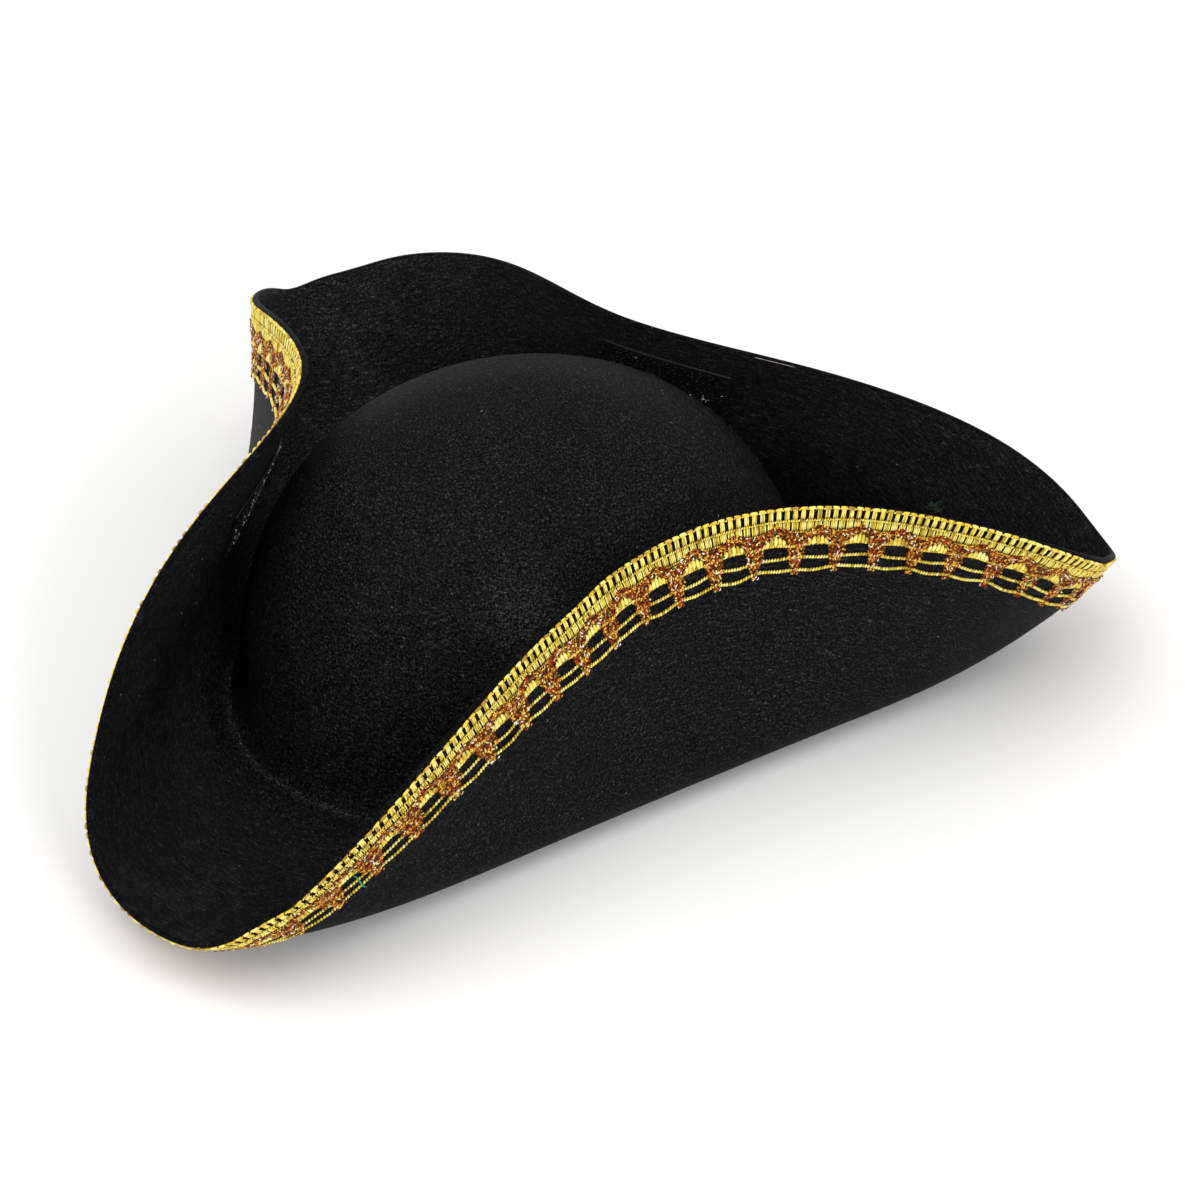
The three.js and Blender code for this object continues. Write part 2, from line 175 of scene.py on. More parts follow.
# Painted highlight along the line where the crown meets the brim, and a painted highlight low on the crown
CREASE_HIGHLIGHT_TONE = 1.15
CREASE_BEARING = 207.0
CREASE_REACH = 32.0
PAINTED_SHEEN_TONE = 1.1
PAINTED_SHEEN_PLACE = (1.7, -64.2, 71.4)
PAINTED_SHEEN_REACH = 13.0
# Loose hairs in metres: name, number per square metre, length, thickness, lift, seed, colour
HAIRS = (
    ("dark_hairs", 10500.0, 0.0011, 0.000025, 0.0004, 31, (0.07, 0.07, 0.07)),
    ("pale_lint", 800.0, 0.0006, 0.00005, 0.0003, 33, (0.30, 0.30, 0.29)),
)

# Camera in the layout: tilt and roll, height it looks at, steps right and up, distance, field
CAMERA_TILT = math.radians(36.863)
CAMERA_ROLL = math.radians(-1.743)
CAMERA_HEIGHT = 40.0
CAMERA_STEPS = (25.304, -7.515)
CAMERA_DISTANCE = 2793.95
CAMERA_FIELD = math.radians(8.476)
SENSOR_WIDTH = 36.0
# Lights: name, place to the right of, above and behind the view's middle, height lit, size, power
LIGHTS = (
    ("key_light", (-0.7, 2.2, 0.6), 0.05, 2.4, 22),
    ("front_light", (0.55, 1.2, 1.9), 0.07, 0.5, 12),
)
ROOM_LIGHT = 0.85
RAND = np.random.default_rng(1771)


def smooth_step(value):
    share = np.clip(value, 0.0, 1.0)
    return share * share * (3.0 - 2.0 * share)


def head_radius(bearing):
    turned = bearing - HEAD_TURN
    return 1.0 / np.hypot(np.cos(turned) / (HEAD_LENGTH / 2), np.sin(turned) / (HEAD_WIDTH / 2))


def head_reach(bearing):
    turned = bearing - HEAD_TURN
    return np.hypot(HEAD_LENGTH / 2 * np.cos(turned), HEAD_WIDTH / 2 * np.sin(turned))


def point_share(bearing, column):
    total = 0.0
    for point in POINTS:
        turn = bearing - math.radians(point[0])
        away = np.arctan2(np.sin(turn), np.cos(turn)) / POINT_SPREAD
        total = total + point[column] * np.exp(-away * away)
    return total


def brim_width(bearing):
    share = 1.0 + point_share(bearing, 2)
    for turns, cosine, sine in WIDTH_WAVES:
        share = share + cosine * np.cos(turns * bearing) + sine * np.sin(turns * bearing)
    return BRIM_WIDTH * share


CURVE_PLACES, CURVE_WEIGHTS = np.polynomial.legendre.leggauss(6)
CURVE_PLACES = (CURVE_PLACES + 1) / 2
CURVE_WEIGHTS = CURVE_WEIGHTS / 2


def fold_shift(out, start, bend, angle):
    """Shift of a flat strip at distance out once it is curled up by angle."""
    curled = np.clip((out - start) / bend, 0.0, 1.0)
    along = np.zeros_like(out)
    rise = np.zeros_like(out)
    for place, weight in zip(CURVE_PLACES, CURVE_WEIGHTS):
        slope = angle * smooth_step(place * curled)
        along += weight * np.cos(slope)
        rise += weight * np.sin(slope)
    straight = np.maximum(out - start - bend, 0.0)
    along = along * curled * bend + straight * np.cos(angle)
    rise = rise * curled * bend + straight * np.sin(angle)
    folded = out > start
    return np.where(folded, start + along - out, 0.0), np.where(folded, rise, 0.0)


def crown_radius(bearing, height):
    level = np.clip(height / CROWN_HEIGHT, 0.0, 1.0)
    rounding = (1 - level ** CROWN_SQUARENESS) ** (1 / CROWN_SQUARENESS)
    flare = HEADLINE_FLARE * (1 - np.exp(-np.maximum(height, 0.0) / HEADLINE_ROUND))
    return (head_radius(bearing) - flare) * rounding


def brim_point(bearing, share):
    """Visible upper face of the brim; share runs from 0 at the headline to 1 at the rim."""
    radius = head_radius(bearing) + brim_width(bearing) * share
    flat_x, flat_y = radius * np.cos(bearing), radius * np.sin(bearing)
    lift = np.maximum((share - FLAT_SHARE) / (1 - FLAT_SHARE), 0.0) ** 2
    x, y, z = flat_x.copy(), flat_y.copy(), BRIM_WIDTH * point_share(bearing, 1) * lift
    half_span = FOLD_HALF_SPAN * (HEAD_LENGTH / 2 + BRIM_WIDTH)
    for bearing_deg, start, bend, middle, first, last, first_ease, last_ease in FLAPS:
        facing = math.radians(bearing_deg)
        out = flat_x * math.cos(facing) + flat_y * math.sin(facing)
        side = (flat_y * math.cos(facing) - flat_x * math.sin(facing)) / half_span
        side = np.clip(side, -0.995, 0.995)
        end = np.where(side < 0, first, last)
        ease = np.where(side < 0, first_ease, last_ease)
        angle = np.radians(end + (middle - end) * (1 - side * side) ** ease)
        begin = head_reach(facing) + start * BRIM_WIDTH
        shift, rise = fold_shift(out, begin, bend * BRIM_WIDTH, angle)
        x += shift * math.cos(facing)
        y += shift * math.sin(facing)
        z += rise
    level = np.clip(z / CROWN_HEIGHT, 0.0, 1.0)
    from_x, from_y = x - CROWN_LEAN[0] * level, y - CROWN_LEAN[1] * level
    distance = np.hypot(from_x, from_y)
    nearest = crown_radius(np.arctan2(from_y, from_x), z) + CROWN_CLEARANCE
    push = CLEARANCE_BLEND * np.logaddexp(0.0, (nearest - distance) / CLEARANCE_BLEND)
    begin, full = CLEARANCE_SHARES
    grow = 1 + push * smooth_step((share - begin) / (full - begin)) / distance
    return np.stack([CROWN_LEAN[0] * level + from_x * grow,
                     CROWN_LEAN[1] * level + from_y * grow, z], -1)


def crown_point(bearing, share):
    """Visible face of the crown; share runs from 0 at the headline to 1 at the apex."""
    height = CROWN_HEIGHT * np.sin(share * math.pi / 2) ** (2 / CROWN_SQUARENESS)
    level = height / CROWN_HEIGHT
    radius = crown_radius(bearing, height)
    edge = brim_point(bearing, np.zeros_like(bearing))
    pull = np.exp(-(height / FOLD_PULL_HEIGHT) ** 2)
    start = head_radius(bearing)
    return np.stack([
        radius * np.cos(bearing) + CROWN_LEAN[0] * level + (edge[..., 0] - start * np.cos(bearing)) * pull,
        radius * np.sin(bearing) + CROWN_LEAN[1] * level + (edge[..., 1] - start * np.sin(bearing)) * pull,
        height + edge[..., 2] * pull,
    ], -1)


def unit(vectors):
    return vectors / np.maximum(np.linalg.norm(vectors, axis=-1, keepdims=True), 1e-12)


def away_from_felt(surface, bearing, share, upward=False):
    """Unit direction that points away from the felt on its visible face."""
    step = 1e-4
    low, high = np.clip(share - step, 0, 1), np.clip(share + step, 0, 1)
    around = surface(bearing + step, share) - surface(bearing - step, share)
    along = surface(bearing, high) - surface(bearing, low)
    return unit(np.cross(around, along) if upward else np.cross(along, around))


def turned(points):
    cosine, sine = math.cos(FRONT_TURN), math.sin(FRONT_TURN)
    x, y = points[..., 0], points[..., 1]
    return np.stack([x * cosine - y * sine, x * sine + y * cosine, points[..., 2]], -1)


def find_shift():
    """Plan shift between the layout and the frame, from the felt's own box in both."""
    columns = 80
    bearing = np.repeat(np.arange(columns) * 2 * math.pi / columns, 12)
    share = np.tile(np.linspace(0.45, 1.0, 12), columns)
    upper = brim_point(bearing, share)
    under = upper - FELT_THICKNESS * away_from_felt(brim_point, bearing, share)
    both = turned(np.concatenate([upper, under]))
    low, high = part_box("felt_body")
    middle = (np.array(low) + np.array(high)) * 500
    found = (both.max(0) + both.min(0)) / 2
    return np.array([middle[0] - found[0], middle[1] - found[1], FELT_THICKNESS])


SHIFT = find_shift()


def to_frame(points):
    return (turned(points) + SHIFT) * 0.001


def show(name, data):
    obj = bpy.data.objects.new(name, data)
    bpy.context.scene.collection.objects.link(obj)
    return obj


def smooth(mesh):
    mesh.polygons.foreach_set("use_smooth", np.ones(len(mesh.polygons), bool))


def add_object(name, points, faces):
    """New smooth object from points already in metres."""
    mesh = bpy.data.meshes.new(name)
    mesh.from_pydata([tuple(p) for p in points], [], [tuple(f) for f in faces])
    mesh.update()
    smooth(mesh)
    return show(name, mesh)


def face_outwards(obj):
    shape = bmesh.new()
    shape.from_mesh(obj.data)
    bmesh.ops.recalc_face_normals(shape, faces=shape.faces)
    shape.to_mesh(obj.data)
    shape.free()


def add_values(mesh, name, kind, values):
    """New value for each point of a mesh."""
    layer = mesh.attributes.new(name, kind, "POINT")
    field = "vector" if kind == "FLOAT_VECTOR" else "value"
    layer.data.foreach_set(field, np.asarray(values, np.float32).ravel())


def grid_faces(rows, columns, wraps, first=0, flip=False):
    faces = []
    for row in range(rows - 1):
        for column in range(columns if wraps else columns - 1):
            following = (column + 1) % columns
            a, b = first + row * columns + column, first + row * columns + following
            c, d = a + columns, b + columns
            faces.append((a, c, d, b) if flip else (a, b, d, c))
    return faces


def tube_faces(rows, columns):
    """Faces of a closed tube whose two end points come after its rings."""
    faces = grid_faces(rows, columns, True)
    end = rows * columns
    last = end - columns
    for column in range(columns):
        following = (column + 1) % columns
        faces.append((end, following, column))
        faces.append((end + 1, last + column, last + following))
    return faces


# Felt body

def felt_rings():
    """Rings of the visible face from near the apex to the rim, with their outward directions."""
    bearings = np.arange(FELT_COLUMNS) * 2 * math.pi / FELT_COLUMNS
    spots, aways = [], []
    on_crown = 1 - (np.arange(1, CROWN_ROWS + 1) / CROWN_ROWS) ** CROWN_ROW_EASE
    on_crown = np.append(on_crown[:-1], CROWN_FOOT)
    on_brim = (np.arange(BRIM_ROWS + 1) / BRIM_ROWS) ** BRIM_ROW_EASE
    for surface, shares, upward in ((crown_point, on_crown, True), (brim_point, on_brim, False)):
        for share in shares:
            level = np.full_like(bearings, share)
            spots.append(surface(bearings, level))
            aways.append(away_from_felt(surface, bearings, level, upward))
    return bearings, np.array(spots), np.array(aways)


def build_felt():
    bearings, spots, aways = felt_rings()
    along = unit(spots[-1] - spots[-2])
    half = FELT_THICKNESS / 2
    edge = []
    for turn in np.radians(EDGE_TURNS):
        out = half * EDGE_BULGE * math.cos(turn) ** EDGE_SQUARENESS
        rise = half * math.copysign(abs(math.sin(turn)) ** EDGE_SQUARENESS, turn)
        edge.append(spots[-1] + aways[-1] * (rise - half) + along * (out - half * EDGE_SETBACK))
    visible = np.concatenate([spots[:-1], [spots[-1] - along * FELT_THICKNESS * 0.3]])
    inner = visible - FELT_THICKNESS * aways
    rings = np.concatenate([visible, np.array(edge), inner[::-1]])
    ends = [(*CROWN_LEAN, CROWN_HEIGHT), (*CROWN_LEAN, CROWN_HEIGHT - FELT_THICKNESS)]
    points = np.concatenate([rings.reshape(-1, 3), ends])
    felt = add_object("felt_hat", to_frame(points), tube_faces(len(rings), FELT_COLUMNS))
    face_outwards(felt)
    # Nap coordinates in metres run round the crown and out from its top, so streaks run round the hat
    outward = np.concatenate([[np.zeros(FELT_COLUMNS)], np.cumsum(
        np.linalg.norm(np.diff(visible, axis=0), axis=2), 0)]) * 0.001
    out = np.concatenate([outward, np.repeat(outward[-1:], len(edge), 0), outward[::-1]])
    ring_bearing = np.tile(bearings, len(rings))
    nap = np.stack([NAP_RADIUS * np.cos(ring_bearing), NAP_RADIUS * np.sin(ring_bearing), out.ravel()], -1)
    add_values(felt.data, "nap", "FLOAT_VECTOR", np.concatenate([nap, np.zeros((2, 3))]))
    tone, grain = felt_tones(bearings, visible, len(rings), len(edge))
    add_values(felt.data, "tone", "FLOAT", np.append(tone.ravel(), [CROWN_TONE] * 2))
    add_values(felt.data, "grain", "FLOAT", np.append(grain.ravel(), [1.0] * 2))
    return felt


def felt_tones(bearings, visible, rings, edge_rings):
    """How pale and how grainy the felt is at each ring and bearing, its painted light and painted
    highlights included.
    """
    tone = np.full((rings, FELT_COLUMNS), CROWN_TONE)
    # Painted light: the brim's inner face is made paler against the shade inside the flaps, and more so
    # towards the back point
    across_brim = smooth_step(np.linspace(0, 1, BRIM_ROWS + 1) / BRIM_TONE_SPAN)[:, None]
    towards_back = np.exp(-(((np.degrees(bearings) - PAINTED_LIGHT_BEARING) / PAINTED_LIGHT_REACH) ** 2))
    brim_tone = BRIM_TONE + PAINTED_LIGHT_TONE * towards_back
    brim = slice(HEADLINE_ROW, len(visible))
    tone[brim] += across_brim * (brim_tone - CROWN_TONE)
    # Painted highlight along the crease at the crown's foot
    crease_highlight = CREASE_HIGHLIGHT_TONE * np.exp(-((np.degrees(bearings) - CREASE_BEARING) / CREASE_REACH) ** 4)
    tone[HEADLINE_ROW] += crease_highlight
    tone[HEADLINE_ROW + 1] += crease_highlight * 0.6
    # Painted highlight low on the crown
    painted_sheen = np.linalg.norm(visible - PAINTED_SHEEN_PLACE, axis=-1) / PAINTED_SHEEN_REACH
    tone[:HEADLINE_ROW] += PAINTED_SHEEN_TONE * np.exp(-painted_sheen[:HEADLINE_ROW] ** 2)
    tone[len(visible):len(visible) + edge_rings] = EDGE_TONE
    grain = np.ones_like(tone)
    grain[brim] -= across_brim * (1 - BRIM_GRAIN) * (1 - PALE_GRAIN * towards_back)
    return tone, grain


# Materials

# Tinsel colours by share of the bits: dark copper, copper, orange, gold, rose, green, silver.
TINSEL_TONES = (
    (0.0, (0.16, 0.03, 0.005)), (0.15, (0.45, 0.09, 0.01)), (0.36, (0.80, 0.28, 0.02)),
    (0.58, (1.0, 0.62, 0.07)), (0.75, (1.0, 0.90, 0.40)), (0.84, (0.62, 0.02, 0.02)),
    (0.92, (0.07, 0.28, 0.05)), (0.935, (1.0, 1.0, 0.95)))
TINSEL_GROUND_TONES = (
    (0.0, (0.03, 0.006, 0.001)), (0.40, (0.10, 0.018, 0.002)), (0.66, (0.30, 0.07, 0.006)),
    (0.84, (0.65, 0.27, 0.02)), (0.94, (1.0, 0.75, 0.20)))


class Nodes:
    """A node tree and a short way to add to it."""

    def __init__(self, tree):
        self.tree = tree

    def add(self, kind, output, inputs=None, **settings):
        """Result of a new node; its inputs are plain values or results of other nodes."""
        made = self.tree.nodes.new(kind)
        for key, value in settings.items():
            setattr(made, key, value)
        for key, value in (inputs or {}).items():
            if isinstance(value, bpy.types.NodeSocket):
                self.tree.links.new(value, made.inputs[key])
            else:
                made.inputs[key].default_value = value
        return made.outputs[output]


class Surface(Nodes):
    """A material: one main shader and the small nodes that feed it."""

    def __init__(self, name, **values):
        self.material = bpy.data.materials.new(name)
        self.material.use_nodes = True
        super().__init__(self.material.node_tree)
        self.shader = self.tree.nodes["Principled BSDF"].inputs
        for label, value in values.items():
            self.shader[label.replace("_", " ")].default_value = value

    def feed(self, colour, normal=None):
        self.tree.links.new(colour, self.shader["Base Color"])
        if normal is not None:
            self.tree.links.new(normal, self.shader["Normal"])
        return self.material

    def object_place(self):
        return self.add("ShaderNodeTexCoord", "Object")

    def attribute(self, name, output="Fac"):
        return self.add("ShaderNodeAttribute", output, attribute_name=name)

    def noise(self, place, scale, detail=3.0, roughness=0.5):
        return self.add("ShaderNodeTexNoise", "Fac", {
            "Vector": place, "Scale": scale, "Detail": detail, "Roughness": roughness})

    def ramp(self, value, stops, blend="LINEAR"):
        colour = self.add("ShaderNodeValToRGB", "Color", {"Fac": value})
        ramp = colour.node.color_ramp
        ramp.interpolation = blend
        while len(ramp.elements) < len(stops):
            ramp.elements.new(0.5)
        for element, (place, tone) in zip(ramp.elements, stops):
            element.position = place
            element.color = (*tone, 1.0)
        return colour

    def bump(self, height, strength, distance, **below):
        return self.add("ShaderNodeBump", "Normal", {
            "Height": height, "Strength": strength, "Distance": distance, **below})

    def multiply(self, first, second, factor=1.0):
        return self.add("ShaderNodeMix", "Result", {"Factor": factor, "A": first, "B": second},
                        data_type="RGBA", blend_type="MULTIPLY")


def felt_material():
    """Near-black felt: a dark ground, short lighter hairs that run round the hat, and specks."""
    felt = Surface("black_felt", Roughness=0.55, Specular_IOR_Level=0.035)
    place = felt.object_place()
    stretched = felt.add("ShaderNodeVectorMath", "Vector", {
        0: felt.attribute("nap", "Vector"), 1: HAIR_STRETCH}, operation="MULTIPLY")
    hairs = felt.noise(stretched, 1.0, roughness=0.6)
    grain = felt.noise(place, 1300.0, roughness=0.6)
    cloud = felt.noise(place, 45.0, 4.0, 0.6)
    specked = felt.multiply(felt.ramp(hairs, FELT_HAIR_TONES), felt.ramp(grain, FELT_GRAIN_TONES),
                            felt.attribute("grain"))
    worn = felt.multiply(specked, felt.ramp(cloud, FELT_CLOUD_TONES))
    bumped = felt.bump(hairs, 0.8, 0.0005, Normal=felt.bump(grain, 1.0, 0.0005))
    # The tone attribute brings in the painted light on the brim and the painted highlights on the crown
    return felt.feed(felt.multiply(worn, felt.attribute("tone")), bumped)


def thread_material(name, tones, roughness, specular=0.5):
    """Satin thread whose tone changes from strand to strand and along it."""
    thread = Surface(name, Roughness=roughness, Specular_IOR_Level=specular)
    place = thread.object_place()
    along = thread.noise(place, 600.0, 3.0, 0.7)
    mixed = thread.add("ShaderNodeMix", "Result", {
        "Factor": 0.5, "A": thread.attribute("tint"), "B": along}, data_type="FLOAT")
    fine = thread.noise(place, 4000.0, 2.0)
    return thread.feed(thread.ramp(mixed, list(zip((0.25, 0.45, 0.75), tones))),
                       thread.bump(fine, 0.35, 0.0002))


def tinsel_material(name, by_bit, tones):
    """Tinsel: each bit or grain has a colour of its own, mostly copper, with a few bright ones."""
    tinsel = Surface(name, Roughness=0.24, Metallic=0.3, Specular_IOR_Level=0.12)
    place = tinsel.object_place()
    if by_bit:
        value = tinsel.attribute("tint")
    else:
        cells = tinsel.add("ShaderNodeTexVoronoi", "Color", {"Vector": place, "Scale": 1700.0})
        value = tinsel.add("ShaderNodeSeparateColor", "Red", {"Color": cells})
    fine = tinsel.noise(place, 2500.0, 2.0)
    return tinsel.feed(tinsel.ramp(value, tones, "CONSTANT"), tinsel.bump(fine, 0.8, 0.0004))


def tape_material():
    tape = Surface("black_tape", Roughness=0.35, Specular_IOR_Level=0.3)
    fine = tape.noise(tape.object_place(), 900.0)
    colour = tape.ramp(fine, ((0.3, (0.003, 0.003, 0.0035)), (0.7, (0.012, 0.012, 0.013))))
    return tape.feed(colour, tape.bump(fine, 0.2, 0.0003))


def glint_material():
    """Hooks of the tape painted pale grey as glints; they are glossy as well."""
    hook = Surface("hook_glint", Roughness=0.2)
    fine = hook.noise(hook.object_place(), 700.0, 2.0)
    return hook.feed(hook.ramp(fine, ((0.4, (0.03, 0.03, 0.03)), (0.62, (0.55, 0.55, 0.54)))))


def plain_material(name, colour, roughness=0.6):
    return Surface(name, Base_Color=(*colour, 1.0), Roughness=roughness).material


# Lace

class LaceGround:
    """Outer face of the brim as a flat strip: along the rim, down from the rim, off the felt."""

    DEPTH = 36.0
    MIDDLE = 13.0
    STEP = 0.5
    COUNT = 960
    SHARES = np.linspace(1.0, 0.35, 106)
    MOST_LEAN = 0.6
    SMOOTHING = 8

    def __init__(self):
        bearings = np.arange(self.COUNT + 1) * 2 * math.pi / self.COUNT
        grid_b, grid_s = np.meshgrid(bearings, self.SHARES, indexing="ij")
        upper = brim_point(grid_b, grid_s)
        away = away_from_felt(brim_point, grid_b, grid_s)
        under = upper - FELT_THICKNESS * away
        gaps = np.linalg.norm(np.diff(under, axis=1), axis=2)
        down = np.concatenate([np.zeros((len(bearings), 1)), np.cumsum(gaps, 1)], 1)
        levels = np.arange(0, self.DEPTH + self.STEP, self.STEP)
        self.spots = np.empty((len(bearings), len(levels), 3))
        self.aways = np.empty_like(self.spots)
        for row in range(len(bearings)):
            for axis in range(3):
                self.spots[row, :, axis] = np.interp(levels, down[row], under[row, :, axis])
                self.aways[row, :, axis] = np.interp(levels, down[row], -away[row, :, axis])
        rim = under[:, 0]
        along = np.linalg.norm(np.diff(rim, axis=0), axis=1)
        self.along = np.concatenate([[0.0], np.cumsum(along)])
        self.length = self.along[-1]
        self.lean = self.find_lean(rim)

    def find_lean(self, rim):
        """How far the grid's way down leans along the rim, as a share, made smooth round the rim."""
        way = unit(np.roll(rim[:-1], -1, 0) - np.roll(rim[:-1], 1, 0))
        down = unit(self.spots[:-1, int(self.MIDDLE / self.STEP)] - self.spots[:-1, 0])
        lean = np.clip(np.sum(way * down, 1), -self.MOST_LEAN, self.MOST_LEAN)
        turns = range(-self.SMOOTHING, self.SMOOTHING + 1)
        even = sum(np.roll(lean, turn) for turn in turns) / len(turns)
        middle, reach, amount = LACE_LEAN
        away = (np.arange(self.COUNT) * 360 / self.COUNT - middle + 180) % 360 - 180
        even += amount * np.exp(-(away / reach) ** 2)
        return np.append(even, even[0])

    def bearing_at(self, along):
        """Bearing in degrees of places along the rim."""
        return np.interp(along % self.length, self.along, np.linspace(0, 360, self.COUNT + 1))

    def square(self, flat):
        """Grid places for spots given straight down from the rim."""
        lean = np.interp(flat[:, 0] % self.length, self.along, self.lean)
        down = flat[:, 1] / np.sqrt(1 - lean * lean)
        return np.stack([flat[:, 0] - down * lean, down, flat[:, 2]], -1)

    def wrap(self, flat):
        flat = self.square(flat)
        place = np.interp(flat[:, 0] % self.length, self.along, np.arange(self.COUNT + 1))
        column = np.minimum(place.astype(int), self.COUNT - 1)
        across = (place - column)[:, None]
        level = flat[:, 1] / self.STEP
        row = np.clip(level.astype(int), 0, self.spots.shape[1] - 2)
        down = (level - row)[:, None]

        def blend(table):
            near = table[column, row] * (1 - across) + table[column + 1, row] * across
            far = table[column, row + 1] * (1 - across) + table[column + 1, row + 1] * across
            return near * (1 - down) + far * down

        return blend(self.spots) + unit(blend(self.aways)) * flat[:, 2:3]


def strand(path, width, height, sides=5, taper=0.45):
    """Closed strand along a path of points (x, y, z), flattened across, narrowing to its ends."""
    path = np.array(path, float)
    heading = unit(np.gradient(path, axis=0))
    side = unit(np.cross(heading, (0.0, 0.0, 1.0)))
    up = np.cross(side, heading)
    turns = np.arange(sides) * 2 * math.pi / sides
    share = np.linspace(0, 1, len(path))
    swell = taper + (1 - taper) * np.sin(math.pi * share) ** 0.6
    rings = (path[:, None]
             + side[:, None] * (np.cos(turns)[None, :, None] * (width / 2 * swell)[:, None, None])
             + up[:, None] * (np.sin(turns)[None, :, None] * (height / 2 * swell)[:, None, None]))
    return [*rings.reshape(-1, 3), path[0], path[-1]], tube_faces(len(path), sides)


def join(parts):
    """One shape from several, with the number of points of each for its own tone."""
    points, faces, counts = [], [], []
    for part_points, part_faces in parts:
        first = len(points)
        points.extend(part_points)
        faces.extend(tuple(first + index for index in face) for face in part_faces)
        counts.append(len(part_points))
    return points, faces, counts


class Rule(Nodes):
    """A node tree that makes shapes, with named inputs."""

    def __init__(self, name, **inputs):
        super().__init__(bpy.data.node_groups.new(name, "GeometryNodeTree"))
        face = self.tree.interface
        face.new_socket("Geometry", in_out="INPUT", socket_type="NodeSocketGeometry")
        for label, kind in inputs.items():
            face.new_socket(label, in_out="INPUT", socket_type="NodeSocket" + kind)
        face.new_socket("Geometry", in_out="OUTPUT", socket_type="NodeSocketGeometry")
        self.given = self.tree.nodes.new("NodeGroupInput").outputs

    def finish(self, spots, shape, turn, scale):
        """Sets the shape on every spot, makes it plain and gives it its material."""
        copies = self.add("GeometryNodeInstanceOnPoints", 0, {
            "Points": spots, "Instance": shape, "Rotation": turn, "Scale": scale})
        plain = self.add("GeometryNodeRealizeInstances", 0, {"Geometry": copies})
        painted = self.add("GeometryNodeSetMaterial", 0, {
            "Geometry": plain, "Material": self.given["Material"]})
        self.tree.links.new(painted, self.tree.nodes.new("NodeGroupOutput").inputs["Geometry"])

    def apply(self, obj, **values):
        """Runs the tree on an object and leaves the result as its plain mesh."""
        modifier = obj.modifiers.new(self.tree.name, "NODES")
        modifier.node_group = self.tree
        for item in self.tree.interface.items_tree:
            if item.in_out == "INPUT" and item.name in values:
                modifier[item.identifier] = values[item.name]
        bpy.context.view_layer.update()
        depsgraph = bpy.context.evaluated_depsgraph_get()
        mesh = bpy.data.meshes.new_from_object(obj.evaluated_get(depsgraph))
        obj.modifiers.remove(modifier)
        obj.data = mesh


def row_rule():
    """Repeats its geometry along X with small changes from one to the next."""
    rule = Rule("repeat_along_rim", Count="Int", Pitch="Float", Shift="Float", Turn="Float",
                Change="Float", Seed="Int", Material="Material")
    given = rule.given

    def spread(amount, seed_step, centre=0.0):
        """Random value within amount of centre, with a seed of its own."""
        low = rule.add("ShaderNodeMath", 0, {0: centre, 1: amount}, operation="SUBTRACT")
        high = rule.add("ShaderNodeMath", 0, {0: centre, 1: amount})
        seed = rule.add("ShaderNodeMath", 0, {0: given["Seed"], 1: seed_step})
        return rule.add("FunctionNodeRandomValue", 1, {2: low, 3: high, "Seed": seed})

    step = rule.add("ShaderNodeCombineXYZ", 0, {"X": given["Pitch"]})
    line = rule.add("GeometryNodeMeshLine", 0, {"Count": given["Count"], "Offset": step})
    shift = rule.add("ShaderNodeCombineXYZ", 0, {
        "X": spread(given["Shift"], 1), "Y": spread(given["Shift"], 2)})
    spots = rule.add("GeometryNodeSetPosition", 0, {"Geometry": line, "Offset": shift})
    turn = rule.add("ShaderNodeCombineXYZ", 0, {"Z": spread(given["Turn"], 3)})
    rule.finish(spots, given["Geometry"], turn, spread(given["Change"], 4, 1.0))
    return rule


def mesh_points(mesh):
    flat = np.empty(len(mesh.vertices) * 3, np.float32)
    mesh.vertices.foreach_get("co", flat)
    return flat.reshape(-1, 3).astype(float)


def set_points(mesh, points):
    mesh.vertices.foreach_set("co", np.asarray(points, np.float32).ravel())
    mesh.update()


def slipped(along):
    """Places along the rim after the lace's own unevenness."""
    slip = 0.0
    for place, amount, before, after in LACE_SLIPS:
        reach = np.where(along < place, before, after)
        slip = slip + amount * np.exp(-((along - place) / reach) ** 2)
    return along + slip


def lace_start(along):
    """Distance of the first row from the rim; below zero it stands over the rim."""
    bearing = ground.bearing_at(along)
    start = LACE_START
    for begin, end, amount in LACE_STEPS:
        rise, fall = smooth_step((bearing - begin) / 8.0), smooth_step((end - bearing) / 16.0)
        start = start + amount * rise * fall
    return start


def pucker(flat):
    """Small slow changes along the rim, so that the band isn't dead straight."""
    turn = 2 * math.pi * flat[:, 0] / ground.length
    weight = np.clip(flat[:, 1] / 12.0, 0.0, 1.0)
    flat[:, 1] += weight * sum(amount * np.sin(turns * turn + start) for turns, amount, start in LACE_WAVES)
    turns, amount = LIFT_WAVE
    flat[:, 2] += amount * np.sin(turns * turn) * weight
    return flat


def rim_row(name, parts, count, material, shift=0.0, turn=0.0, change=0.0, seed=1, bend=pucker):
    """A row of the same small shape all round the rim, worked flat and then laid on the brim."""
    points, faces, sizes = join(parts)
    obj = add_object(name, points, faces)
    repeating.apply(obj, Count=count, Pitch=ground.length / count, Shift=shift, Turn=turn, Change=change,
                    Seed=seed, Material=material)
    flat = bend(mesh_points(obj.data))
    flat[:, 0] = slipped(flat[:, 0] % ground.length)
    flat[:, 1] = lace_start(flat[:, 0]) + LACE_STRETCH * flat[:, 1]
    set_points(obj.data, to_frame(ground.wrap(flat)))
    smooth(obj.data)
    add_values(obj.data, "tint", "FLOAT", np.repeat(RAND.random(len(sizes) * count), np.tile(sizes, count)))
    return obj


def merge(name, objects):
    """One object from several, keeping their materials."""
    with bpy.context.temp_override(active_object=objects[0], selected_objects=objects,
                                   selected_editable_objects=objects):
        bpy.ops.object.join()
    objects[0].name = name
    objects[0].data.name = name
    return objects[0]


def piece(obj, slot, *nodes):
    """Lets a finished piece ride with the hat and hides the CAD nodes it stands for; slot is not used."""
    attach(obj, "root")
    if nodes:
        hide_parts(*nodes)


